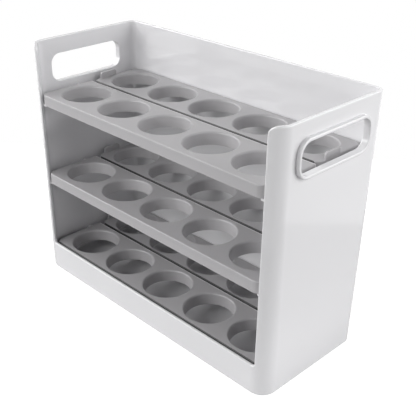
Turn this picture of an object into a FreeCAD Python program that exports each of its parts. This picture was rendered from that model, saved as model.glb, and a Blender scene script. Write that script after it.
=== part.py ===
import FreeCAD, Part
import math
import os

# Egg storage box with three tiers of open rings in a white housing.
# Millimetres, +Z up, length along X, open front towards -Y.

# Housing shell
base_length = 254.0
top_length = 262.0
housing_depth = 108.0
back_lean = 7.8
housing_height = 200.0
wall = 2.6
front_corner_radius = 12.0
back_corner_radius = 7.0
base_band = 3.0
base_edge_radius = 1.6
rim_edge_radius = 0.9
front_y = -housing_depth / 2
back_top_y = housing_depth / 2
back_base_y = back_top_y - back_lean

# Open front between the two flanges
flange_reach = 10.0
lip_height = 23.4
opening_low_radius = 2.5
opening_top_radius = 6.6
opening_flare = 12.0

# Handle slots in the side walls, each with a collar outside
slot_length = 70.0
slot_height = 23.0
slot_below_rim = 14.0
slot_radius = 8.0
slot_edge_radius = 0.7
collar_width = 2.4
collar_reach = 3.0
collar_edge_radius = 0.9
slot_bottom_z = housing_height - slot_below_rim - slot_height

# Tiers, as the height of each deck
slot_above_deck = 3.8
middle_share = 0.49
top_deck_z = slot_bottom_z - slot_above_deck
middle_deck_z = lip_height + middle_share * (top_deck_z - lip_height)
decks = {"top": top_deck_z, "middle": middle_deck_z, "bottom": lip_height}

# Trays, split lengthways into a front and a back half
tray_end_setback = 7.0
tray_front_gap = 0.8
lip_gap = 0.9
split_y = -1.65
split_gap = 1.3
back_wall_gap = 0.5
tray_corner_radius = 7.0
tray_small_radius = 1.2
deck_thickness = 1.8
skirt_height = 8.8
skirt_wall = 1.5
deck_edge_radius = 0.9
tray_half_length = min(base_length, top_length) / 2 - tray_end_setback
front_tray_front_y = front_y + tray_front_gap
bottom_tray_front_y = front_y + wall + lip_gap
front_tray_back_y = split_y - split_gap / 2
back_tray_front_y = split_y + split_gap / 2

# Egg rings, as large as the shallowest tray lets them be
cup_land = 2.55
cup_gap = 8.1
cup_taper = 0.6
cup_depth = 9.6
cup_edge_radius = 1.5
ring_wall = 2.1
ring_low_wall = 1.4
row_end_land = 5.5
front_row_depth = front_tray_back_y - bottom_tray_front_y
back_row_depth = back_base_y - wall - back_wall_gap - back_tray_front_y
cup_radius = min(front_row_depth, back_row_depth) / 2 - cup_land
cup_pitch = 2 * cup_radius + cup_gap
cups_per_row = int((2 * (tray_half_length - row_end_land) + cup_gap) / cup_pitch)
front_row_y = (bottom_tray_front_y + front_tray_back_y) / 2

# Hinges of the front trays
hinge_setback = 8.3
hinge_drop = 4.8
pin_radius = 1.5
pin_play = 0.05
pin_end_play = 0.4
pin_root = 3.0
boss_radius = 2.6
boss_gap = 0.3
bore_depth = 4.0
hinge_y = front_tray_back_y - hinge_setback

# Ears at both ends of the back trays
ear_setback = 8.0
ear_length = 16.0
ear_rise = 4.8
ear_thickness = 1.5
ear_radius = 2.0

# Ledges that carry the trays
ledge_overlap = 4.0
ledge_thickness = 1.6
ledge_drop = 0.3
ledge_length = 9.0
middle_ledge_setback = 4.0
back_ledge_setback = 29.0

# Overrun of every cutting body, and how closely an edge is matched when picked for rounding
overrun = 6.0
edge_match = 0.05

centre = FreeCAD.Vector(0, 0, 0)
along_x = FreeCAD.Vector(1, 0, 0)
along_y = FreeCAD.Vector(0, 1, 0)
along_z = FreeCAD.Vector(0, 0, 1)


def level(z):
    """Turns outline points into points at height z."""
    return lambda u, v: FreeCAD.Vector(u, v, z)


def upright_front(y):
    """Turns outline points into points of a plane across Y."""
    return lambda u, v: FreeCAD.Vector(u, y, v)


def upright_side(x):
    """Turns outline points into points of a plane across X."""
    return lambda u, v: FreeCAD.Vector(x, u, v)


def rounded_outline(corners, place):
    """Closed wire through (u, v, radius) corners."""
    stops = []
    for i, (u, v, radius) in enumerate(corners):
        here = FreeCAD.Vector(u, v, 0)
        before = FreeCAD.Vector(corners[i - 1][0], corners[i - 1][1], 0) - here
        following = corners[(i + 1) % len(corners)]
        after = FreeCAD.Vector(following[0], following[1], 0) - here
        before.normalize()
        after.normalize()
        if radius == 0:
            stops.append((here, here, here))
            continue
        half_angle = before.getAngle(after) / 2
        bisector = before + after
        bisector.normalize()
        reach = radius / math.tan(half_angle)
        middle = here + bisector * (radius / math.sin(half_angle) - radius)
        stops.append((here + before * reach, middle, here + after * reach))
    edges = []
    for i, (start, middle, end) in enumerate(stops):
        arc_start = place(start.x, start.y)
        arc_end = place(end.x, end.y)
        if start != end:
            edges.append(Part.Arc(arc_start, place(middle.x, middle.y), arc_end).toShape())
        onward = stops[(i + 1) % len(stops)][0]
        edges.append(Part.makeLine(arc_end, place(onward.x, onward.y)))
    return Part.Wire(edges)


def rectangle(u0, u1, v0, v1, low_radius, high_radius):
    """Corners of a rectangle, one radius at its v0 side and one at its v1 side."""
    return [(u0, v0, low_radius), (u1, v0, low_radius), (u1, v1, high_radius), (u0, v1, high_radius)]


def prism(wire, direction, length):
    return Part.Face(wire).extrude(direction * length)


def half_length_at(z):
    """Half the outer length of the housing at height z."""
    return (base_length + (top_length - base_length) * z / housing_height) / 2


def back_at(z):
    """Outer face of the back wall at height z."""
    return back_base_y + (back_top_y - back_base_y) * z / housing_height


def shell_section(z, inset):
    """Outline of the housing at height z, drawn in by an inset."""
    half = half_length_at(z) - inset
    front_radius = front_corner_radius - inset
    back_radius = back_corner_radius - inset
    corners = rectangle(-half, half, front_y + inset, back_at(z) - inset, front_radius, back_radius)
    return rounded_outline(corners, level(z))


def drafted_block(z0, z1, inset):
    return Part.makeLoft([shell_section(z0, inset), shell_section(z1, inset)], True, True)


def outer_block():
    """Outer form: an upright band at the foot, rounded below, and leaning walls above it."""
    band = prism(shell_section(base_band, 0), along_z, -base_band)
    band = rounded(band, base_edge_radius, lambda box: near(box.ZMin, 0) and near(box.ZMax, 0))
    return band.fuse(drafted_block(base_band, housing_height, 0))


def rounded(shape, radius, test):
    """Fillets the edges that pass the test."""
    return shape.makeFillet(radius, [edge for edge in shape.Edges if test(edge.BoundBox)])


def near(a, b):
    return abs(a - b) < edge_match


def both_ends(shape):
    """The shape at the right end with its mirror image at the left end."""
    return [shape, shape.mirror(centre, along_x)]


def front_opening():
    """Cutting body of the open front, flared at the rim."""
    low_x = half_length_at(lip_height) - flange_reach
    top_x = half_length_at(housing_height) - flange_reach
    right = [
        (low_x, lip_height, opening_low_radius),
        (top_x, housing_height, opening_top_radius),
        (top_x + opening_flare, housing_height, 0),
        (top_x + opening_flare, housing_height + overrun, 0),
    ]
    left = [(-u, v, radius) for u, v, radius in reversed(right)]
    depth = front_corner_radius + overrun
    return prism(rounded_outline(right + left, upright_front(front_y - overrun)), along_y, depth)


def slot_block(margin, start, length):
    """Handle outline with a margin, run outwards from start along the right wall's normal."""
    z0 = slot_bottom_z - margin
    z1 = slot_bottom_z + slot_height + margin
    half = slot_length / 2 + margin
    middle_z = (z0 + z1) / 2
    outer_x = half_length_at(middle_z)
    radius = slot_radius + margin
    corners = rectangle(-half, half, z0, z1, radius, radius)
    block = prism(rounded_outline(corners, upright_side(outer_x + start)), along_x, length)
    if margin > 0:
        end_x = outer_x + start + length
        block = rounded(block, collar_edge_radius, lambda box: near(box.XMin, end_x))
    draft = math.degrees(math.atan((top_length - base_length) / 2 / housing_height))
    block.rotate(FreeCAD.Vector(outer_x, 0, middle_z), along_y, draft)
    return block


def wall_bar(inner_x, y, z, length, thickness):
    """Flat bar on the right wall, from inner_x outwards into the wall."""
    width = half_length_at(z) - wall / 2 - inner_x
    return Part.makeBox(width, length, thickness, FreeCAD.Vector(inner_x, y, z))


def tier_supports(deck_z):
    """Ledges and hinge boss of one tier at its right end."""
    ledge_z = deck_z - skirt_height - ledge_thickness
    ledge_x = tray_half_length - ledge_overlap
    pieces = [wall_bar(ledge_x, front_y + wall, ledge_z - ledge_drop, ledge_length, ledge_thickness)]
    for setback in (middle_ledge_setback, back_ledge_setback):
        pieces.append(wall_bar(ledge_x, back_tray_front_y + setback, ledge_z, ledge_length, ledge_thickness))
    face_x = tray_half_length + boss_gap
    axis_z = deck_z - hinge_drop
    boss_length = half_length_at(axis_z) - wall / 2 - face_x
    start = FreeCAD.Vector(face_x, hinge_y, axis_z)
    return pieces + [Part.makeCylinder(boss_radius, boss_length, start, along_x)]


def hinge_bore(deck_z):
    start = FreeCAD.Vector(tray_half_length, hinge_y, deck_z - hinge_drop)
    return Part.makeCylinder(pin_radius + pin_play, boss_gap + bore_depth, start, along_x)


def on_rim_or_opening(box):
    """Edges of the top rim, the flanges and the lip."""
    on_rim = near(box.ZMin, housing_height)
    in_front = box.YMax < front_y + front_corner_radius - wall / 2
    return on_rim or (in_front and box.ZMin > lip_height - edge_match)


def on_slot_mouth(box):
    """Edges round both mouths of the handle slots."""
    spare = collar_width / 2
    in_height = box.ZMin > slot_bottom_z - spare and box.ZMax < slot_bottom_z + slot_height + spare
    in_length = max(-box.YMin, box.YMax) < slot_length / 2 + spare
    return in_height and in_length and box.XLength < wall


def housing():
    """White shell: floor, walls, open front, handle slots, ledges and bosses."""
    envelope = outer_block()
    body = envelope.cut(drafted_block(wall, housing_height + overrun, wall))
    body = body.cut(front_opening())
    body = rounded(body, rim_edge_radius, on_rim_or_opening)
    depth = wall + overrun
    additions = both_ends(slot_block(collar_width, -wall / 2, wall / 2 + collar_reach))
    supports = []
    for deck_z in decks.values():
        for piece in tier_supports(deck_z):
            supports += both_ends(piece)
    trimmed = supports[0].multiFuse(supports[1:]).common(envelope)
    body = body.multiFuse(additions + [trimmed]).removeSplitter()
    cuts = both_ends(slot_block(0, -depth, depth + collar_reach + overrun))
    for deck_z in decks.values():
        cuts += both_ends(hinge_bore(deck_z))
    return rounded(body.cut(Part.makeCompound(cuts)), slot_edge_radius, on_slot_mouth)


def cup_places():
    """Centres of the rings along X."""
    first = -cup_pitch * (cups_per_row - 1) / 2
    return [first + cup_pitch * i for i in range(cups_per_row)]


def on_cup_rim(box, deck_z):
    return near(box.ZMin, deck_z) and near(box.XLength, 2 * cup_radius)


def mirrored_outline(right):
    """Outline from its corners on the right, listed from the front to the back."""
    return right + [(-u, v, radius) for u, v, radius in reversed(right)]


def front_outline(front, inset):
    half = tray_half_length - inset
    big = tray_corner_radius - inset
    small = max(tray_small_radius - inset, 0)
    return mirrored_outline([(half, front + inset, big), (half, front_tray_back_y - inset, small)])


def back_outline(back, inset):
    half = tray_half_length - inset
    big = tray_corner_radius - inset
    return mirrored_outline([(half, back_tray_front_y + inset, big), (half, back - inset, big)])


def tray(deck_z, outline, limit_y, row_y):
    """Shallow pan turned over, with a row of tapered open rings."""
    low_z = deck_z - skirt_height
    pan = prism(rounded_outline(outline(limit_y, 0), level(low_z)), along_z, skirt_height)
    pan = rounded(pan, deck_edge_radius, lambda box: near(box.ZMin, deck_z))
    hollow_wire = rounded_outline(outline(limit_y, skirt_wall), level(low_z))
    body = pan.cut(prism(hollow_wire, along_z, skirt_height - deck_thickness))
    rings = []
    holes = []
    low_radius = cup_radius - cup_taper
    ring_height = cup_depth - deck_thickness / 2
    for x in cup_places():
        foot = FreeCAD.Vector(x, row_y, deck_z - cup_depth)
        rings.append(Part.makeCone(low_radius + ring_low_wall, cup_radius + ring_wall, ring_height, foot, along_z))
        holes.append(Part.makeCone(low_radius, cup_radius, cup_depth, foot, along_z))
    body = body.multiFuse(rings).cut(Part.makeCompound(holes))
    return rounded(body, cup_edge_radius, lambda box: on_cup_rim(box, deck_z))


def front_tray(deck_z, front):
    """Flap with five rings and a hinge pin at each end."""
    body = tray(deck_z, front_outline, front, front_row_y)
    root_x = tray_half_length - pin_root
    end_x = tray_half_length + boss_gap + bore_depth - pin_end_play
    root = FreeCAD.Vector(root_x, hinge_y, deck_z - hinge_drop)
    pin = Part.makeCylinder(pin_radius, end_x - root_x, root, along_x)
    return body.multiFuse(both_ends(pin))


def back_tray(deck_z):
    """Fixed half tier with a raised ear at each end, fitted to the slope of the back wall."""
    back = back_at(deck_z - skirt_height) - wall - back_wall_gap
    body = tray(deck_z, back_outline, back, (back_tray_front_y + back) / 2)
    low_z = deck_z - deck_thickness
    ear_y = back_tray_front_y + ear_setback
    corners = rectangle(ear_y, ear_y + ear_length, low_z, deck_z + ear_rise, 0, ear_radius)
    wire = rounded_outline(corners, upright_side(tray_half_length - ear_thickness))
    return body.multiFuse(both_ends(prism(wire, along_x, ear_thickness)))


os.makedirs("parts", exist_ok=True)
nodes = {"housing": housing()}
for tier, deck_z in decks.items():
    tray_front = bottom_tray_front_y if tier == "bottom" else front_tray_front_y
    nodes["front_tray_" + tier] = front_tray(deck_z, tray_front)
    nodes["back_tray_" + tier] = back_tray(deck_z)
for name, shape in nodes.items():
    shape.exportStep("parts/" + name + ".step")
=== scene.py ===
"""Egg storage box: a glossy white housing with three tiers of satin grey ring trays."""
import math

import bpy
from mathutils import Matrix, Vector


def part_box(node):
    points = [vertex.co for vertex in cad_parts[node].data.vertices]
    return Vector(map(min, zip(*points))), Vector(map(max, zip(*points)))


# Camera, as solved for the 416 x 416 frame: angles in degrees, distance and target in metres,
# focal length and picture centre in pixels
FRAME_PX = 416.0
SENSOR_MM = 36.0
CAMERA = {
    "azimuth": 45.734, "elevation": 24.798, "roll": 0.171, "distance": 0.59317,
    "target": (0.01126, 0.0, 0.11543), "focal_px": 779.18, "centre_px": (201.70, 173.35),
}

# Soft square lamps, all at one distance in metres: azimuth and elevation as seen from the object
# in degrees, side in metres and power in watts
AIM = (0.0, 0.0, 0.10)
LAMP_DISTANCE = 1.5
LAMPS = [
    {"name": "lamp_front", "azimuth": -10.0, "elevation": 26.0, "side": 0.9, "power": 13.4},
    {"name": "lamp_left", "azimuth": -60.0, "elevation": 20.0, "side": 1.1, "power": 10.6},
    {"name": "lamp_high_left", "azimuth": -80.0, "elevation": 45.0, "side": 0.9, "power": 6.6},
    {"name": "lamp_right", "azimuth": 122.0, "elevation": 16.0, "side": 1.5, "power": 22.4},
    {"name": "lamp_near_right", "azimuth": 80.0, "elevation": 18.0, "side": 0.9, "power": 3.8},
    {"name": "lamp_behind", "azimuth": -165.0, "elevation": 40.0, "side": 1.2, "power": 3.0},
]

# The world is white to the camera and in the gloss, and lights matt surfaces with this strength
WHITE = (1.0, 1.0, 1.0, 1.0)
WORLD_STRENGTH = 0.01

# White board under the object: its edge shows as a soft step in the gloss of the right side,
# and the object's shadow fades out between two distances from the board's centre
BOARD_SIDE = 0.602
BOARD_TURN = 40.0
BOARD_COLOUR = (0.62, 0.62, 0.62)
BOARD_ROUGHNESS = 0.9
BOARD_SHADOW_SHARE = 0.35
BOARD_GLOW = 1.36
BOARD_FADE = (0.16, 0.29)

# Plastics: scales of the three noises, range of the flow marks' brightness, brightness of edges
# (partly rubbed wear, partly a painted highlight), range of roughness, index of refraction, and
# the clear coat's weight and roughness
HOUSING_COLOUR = (0.779, 0.775, 0.791)
HOUSING_LOOK = {
    "flow_scale": 9.0, "patch_scale": 30.0, "skin_scale": 900.0,
    "flow": (0.985, 1.0), "edge_wear_and_highlight": 1.05, "rough": (0.09, 0.14), "ior": 1.55, "coat": (0.5, 0.09),
}
TRAY_COLOUR = (0.418, 0.410, 0.421)
TRAY_LOOK = {
    "flow_scale": 14.0, "patch_scale": 45.0, "skin_scale": 700.0,
    "flow": (0.965, 1.0), "edge_wear_and_highlight": 1.10, "rough": (0.29, 0.36), "ior": 1.50,
}
FLOW_DETAIL = 3.0
PATCH_DETAIL = 4.0
PATCH_ROUGHNESS = 0.6
SKIN_DETAIL = 2.0
SKIN_BUMP = 0.03
SKIN_DEPTH = 0.0001

# Noise values and pointiness between these limits are spread over the range that is wanted
NOISE_SPAN = (0.3, 0.7)
EDGE_WEAR_AND_HIGHLIGHT_SPAN = (0.52, 0.60)

# Bands on the trays, in metres: painted shade standing in for the dark gaps at the back trays'
# rounded front edge and behind the lip, and a painted highlight along the front trays' back edge
BAND_MARGIN = 0.0003
SPLIT_GROOVE_WIDTH = 0.0009
SPLIT_GROOVE_PAINTED_SHADE = 0.08
LIP_GROOVE_WIDTH = 0.0008
LIP_GROOVE_PAINTED_SHADE = 0.10
PAINTED_HIGHLIGHT_EDGE = (0.0001, 0.0015)
PAINTED_HIGHLIGHT_EDGE_SHINE = 1.6


def nodes_of(material):
    """The material's node tree and its shader."""
    material.use_nodes = True
    return material.node_tree, material.node_tree.nodes["Principled BSDF"]


def add(tree, kind, **values):
    """A node with its settings; names that are sockets set the socket's value."""
    node = tree.nodes.new(kind)
    for key, value in values.items():
        if key in node.inputs:
            node.inputs[key].default_value = value
        else:
            setattr(node, key, value)
    return node


def noise(tree, coordinates, scale, detail, roughness=0.5):
    """Noise at the coordinates."""
    node = add(tree, "ShaderNodeTexNoise", Scale=scale, Detail=detail, Roughness=roughness)
    tree.links.new(coordinates, node.inputs["Vector"])
    return node.outputs["Fac"]


def ranged(tree, value, wanted, given):
    """Maps a value from its given limits onto the wanted ones."""
    node = tree.nodes.new("ShaderNodeMapRange")
    numbers = (*given, *wanted)
    for name, number in zip(("From Min", "From Max", "To Min", "To Max"), numbers):
        node.inputs[name].default_value = number
    tree.links.new(value, node.inputs["Value"])
    return node.outputs["Result"]


def tinted(tree, colour, factor):
    """The colour times a factor."""
    node = tree.nodes.new("ShaderNodeMix")
    node.data_type = "RGBA"
    node.blend_type = "MULTIPLY"
    node.inputs["Factor"].default_value = 1.0
    node.inputs["A"].default_value = (*colour, 1.0)
    tree.links.new(factor, node.inputs["B"])
    return node.outputs["Result"]


def multiplied(tree, first, second):
    """The product of two values."""
    node = add(tree, "ShaderNodeMath", operation="MULTIPLY")
    tree.links.new(first, node.inputs[0])
    tree.links.new(second, node.inputs[1])
    return node.outputs["Value"]


def banded(tree, coordinates, band):
    """The band's factor inside all of its spans, one elsewhere."""
    parts = tree.nodes.new("ShaderNodeSeparateXYZ")
    tree.links.new(coordinates, parts.inputs[0])
    inside = None
    for axis, limits in band["spans"].items():
        for operation, limit in zip(("GREATER_THAN", "LESS_THAN"), limits):
            test = add(tree, "ShaderNodeMath", operation=operation)
            test.inputs[1].default_value = limit
            tree.links.new(parts.outputs[axis], test.inputs[0])
            result = test.outputs["Value"]
            inside = multiplied(tree, inside, result) if inside else result
    return ranged(tree, inside, (1.0, band["factor"]), (0.0, 1.0))


def moulded_plastic(name, colour, look, bands=()):
    """Moulded plastic: cloudy flow marks, satin or gloss patches, fine skin, and edges lightened
    partly as rubbed wear and partly as a painted highlight; any bands of painted shade or
    painted highlight scale the colour.
    """
    material = bpy.data.materials.new(name)
    tree, shader = nodes_of(material)
    coordinates = tree.nodes.new("ShaderNodeTexCoord").outputs["Object"]
    flow = noise(tree, coordinates, look["flow_scale"], FLOW_DETAIL)
    patches = noise(tree, coordinates, look["patch_scale"], PATCH_DETAIL, PATCH_ROUGHNESS)
    skin = noise(tree, coordinates, look["skin_scale"], SKIN_DETAIL)
    pointiness = tree.nodes.new("ShaderNodeNewGeometry").outputs["Pointiness"]
    # Convex edges are lightened: partly rubbed wear, partly a painted highlight on the edge
    # radius
    edge_wear_and_highlight = ranged(tree, pointiness, (1.0, look["edge_wear_and_highlight"]), EDGE_WEAR_AND_HIGHLIGHT_SPAN)
    shade = multiplied(tree, ranged(tree, flow, look["flow"], NOISE_SPAN), edge_wear_and_highlight)
    # Bands of painted shade and painted highlight multiply the colour
    for band in bands:
        shade = multiplied(tree, shade, banded(tree, coordinates, band))
    tree.links.new(tinted(tree, colour, shade), shader.inputs["Base Color"])
    roughness = ranged(tree, patches, look["rough"], NOISE_SPAN)
    tree.links.new(roughness, shader.inputs["Roughness"])
    bump = add(tree, "ShaderNodeBump", Strength=SKIN_BUMP, Distance=SKIN_DEPTH)
    tree.links.new(skin, bump.inputs["Height"])
    tree.links.new(bump.outputs["Normal"], shader.inputs["Normal"])
    shader.inputs["IOR"].default_value = look["ior"]
    if "coat" in look:
        weight, coat_roughness = look["coat"]
        shader.inputs["Coat Weight"].default_value = weight
        shader.inputs["Coat Roughness"].default_value = coat_roughness
    return material


def tray_bands():
    """Bands of painted shade and painted highlight on the trays, placed by the edges that they
    follow.
    """
    split_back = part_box("back_tray_top")[0].y
    split_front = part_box("front_tray_top")[1].y
    bottom_low, bottom_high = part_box("front_tray_bottom")
    split_span = (split_back - BAND_MARGIN, split_back + SPLIT_GROOVE_WIDTH)
    lip_span = (bottom_low.y - BAND_MARGIN, bottom_low.y + LIP_GROOVE_WIDTH)
    bottom_span = (0.0, bottom_high.z + BAND_MARGIN)
    near, far = PAINTED_HIGHLIGHT_EDGE
    return [
        # Painted shade on the back trays' rounded front edge, for the dark gap at each tier's
        # split
        {"spans": {"Y": split_span}, "factor": SPLIT_GROOVE_PAINTED_SHADE},
        # Painted shade on the bottom front tray's edge, for the dark gap behind the lip
        {"spans": {"Y": lip_span, "Z": bottom_span}, "factor": LIP_GROOVE_PAINTED_SHADE},
        # Painted highlight along the front trays' back edge
        {"spans": {"Y": (split_front - far, split_front - near)}, "factor": PAINTED_HIGHLIGHT_EDGE_SHINE},
    ]


def dress(node, material):
    """Gives a CAD node its material."""
    if not node.data.materials:
        node.data.materials.append(material)
    for slot in node.material_slots:
        slot.material = material


def dress_all(nodes):
    """White plastic for the housing, grey plastic for the trays."""
    housing = moulded_plastic("housing_plastic", HOUSING_COLOUR, HOUSING_LOOK)
    trays = moulded_plastic("tray_plastic", TRAY_COLOUR, TRAY_LOOK, tray_bands())
    for name, node in nodes.items():
        dress(node, housing if name == "housing" else trays)


def ray_share(tree, *names):
    """One for the kinds of ray that are named, zero for all others."""
    path = tree.nodes.new("ShaderNodeLightPath").outputs
    total = path[names[0]]
    for name in names[1:]:
        node = add(tree, "ShaderNodeMath", operation="ADD", use_clamp=True)
        tree.links.new(total, node.inputs[0])
        tree.links.new(path[name], node.inputs[1])
        total = node.outputs["Value"]
    return total


def make_world():
    """White to the camera and in the gloss, nearly dark as a light."""
    world = bpy.data.worlds.new("studio")
    bpy.context.scene.world = world
    world.use_nodes = True
    tree = world.node_tree
    background = tree.nodes["Background"]
    background.inputs["Color"].default_value = WHITE
    seen = ray_share(tree, "Is Camera Ray", "Is Glossy Ray", "Is Transmission Ray")
    strength = ranged(tree, seen, (WORLD_STRENGTH, 1.0), (0.0, 1.0))
    tree.links.new(strength, background.inputs["Strength"])


def make_board():
    """White board that keeps a share of the object's shadow, less of it towards its edge."""
    turn = (0.0, 0.0, math.radians(BOARD_TURN))
    bpy.ops.mesh.primitive_plane_add(size=BOARD_SIDE, rotation=turn)
    board = bpy.context.object
    board.name = "floor"
    material = bpy.data.materials.new("floor_white")
    tree, shader = nodes_of(material)
    shader.inputs["Base Color"].default_value = (*BOARD_COLOUR, 1.0)
    shader.inputs["Roughness"].default_value = BOARD_ROUGHNESS
    shader.inputs["Specular IOR Level"].default_value = 0.0
    glow = add(tree, "ShaderNodeEmission", Color=WHITE, Strength=BOARD_GLOW)
    reach = add(tree, "ShaderNodeVectorMath", operation="LENGTH")
    tree.links.new(tree.nodes.new("ShaderNodeTexCoord").outputs["Object"], reach.inputs[0])
    share = ranged(tree, reach.outputs["Value"], (1.0 - BOARD_SHADOW_SHARE, 1.0), BOARD_FADE)
    seen = ray_share(tree, "Is Camera Ray", "Is Transmission Ray")
    mix = tree.nodes.new("ShaderNodeMixShader")
    tree.links.new(multiplied(tree, seen, share), mix.inputs[0])
    tree.links.new(shader.outputs["BSDF"], mix.inputs[1])
    tree.links.new(glow.outputs["Emission"], mix.inputs[2])
    tree.links.new(mix.outputs["Shader"], tree.nodes["Material Output"].inputs["Surface"])
    board.data.materials.append(material)


def direction(azimuth, elevation):
    """Unit vector from the object, azimuth 0 towards -Y and 90 towards +X."""
    turn = math.radians(azimuth)
    rise = math.radians(elevation)
    level = math.cos(rise)
    return Vector((math.sin(turn) * level, -math.cos(turn) * level, math.sin(rise)))


def make_lamps():
    """Square area lamps that face the object."""
    for lamp in LAMPS:
        data = bpy.data.lights.new(lamp["name"], "AREA")
        data.shape = "SQUARE"
        data.size = lamp["side"]
        data.energy = lamp["power"]
        item = bpy.data.objects.new(lamp["name"], data)
        bpy.context.collection.objects.link(item)
        back = direction(lamp["azimuth"], lamp["elevation"])
        item.location = Vector(AIM) + back * LAMP_DISTANCE
        item.rotation_euler = (-back).to_track_quat("-Z", "Y").to_euler()


def make_camera():
    """The photograph's camera, with its roll and its off-centre frame."""
    data = bpy.data.cameras.new("camera")
    item = bpy.data.objects.new("camera", data)
    bpy.context.collection.objects.link(item)
    back = direction(CAMERA["azimuth"], CAMERA["elevation"])
    level = Vector((0.0, 0.0, 1.0)).cross(back).normalized()
    over = back.cross(level)
    roll = math.radians(CAMERA["roll"])
    right = level * math.cos(roll) + over * math.sin(roll)
    up = over * math.cos(roll) - level * math.sin(roll)
    turn = Matrix((right, up, back)).transposed()
    place = Vector(CAMERA["target"]) + back * CAMERA["distance"]
    item.matrix_world = Matrix.Translation(place) @ turn.to_4x4()
    data.sensor_width = SENSOR_MM
    data.lens = CAMERA["focal_px"] / FRAME_PX * SENSOR_MM
    data.shift_x = 0.5 - CAMERA["centre_px"][0] / FRAME_PX
    data.shift_y = CAMERA["centre_px"][1] / FRAME_PX - 0.5
    bpy.context.scene.camera = item


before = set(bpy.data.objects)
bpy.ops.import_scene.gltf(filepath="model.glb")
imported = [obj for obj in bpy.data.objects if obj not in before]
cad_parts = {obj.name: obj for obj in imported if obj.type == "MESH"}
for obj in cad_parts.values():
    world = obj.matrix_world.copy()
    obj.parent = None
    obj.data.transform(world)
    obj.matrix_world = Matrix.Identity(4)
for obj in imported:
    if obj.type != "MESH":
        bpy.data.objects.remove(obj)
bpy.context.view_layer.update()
dress_all(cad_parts)
make_world()
make_board()
make_lamps()
make_camera()
bpy.context.scene.view_settings.view_transform = "Standard"
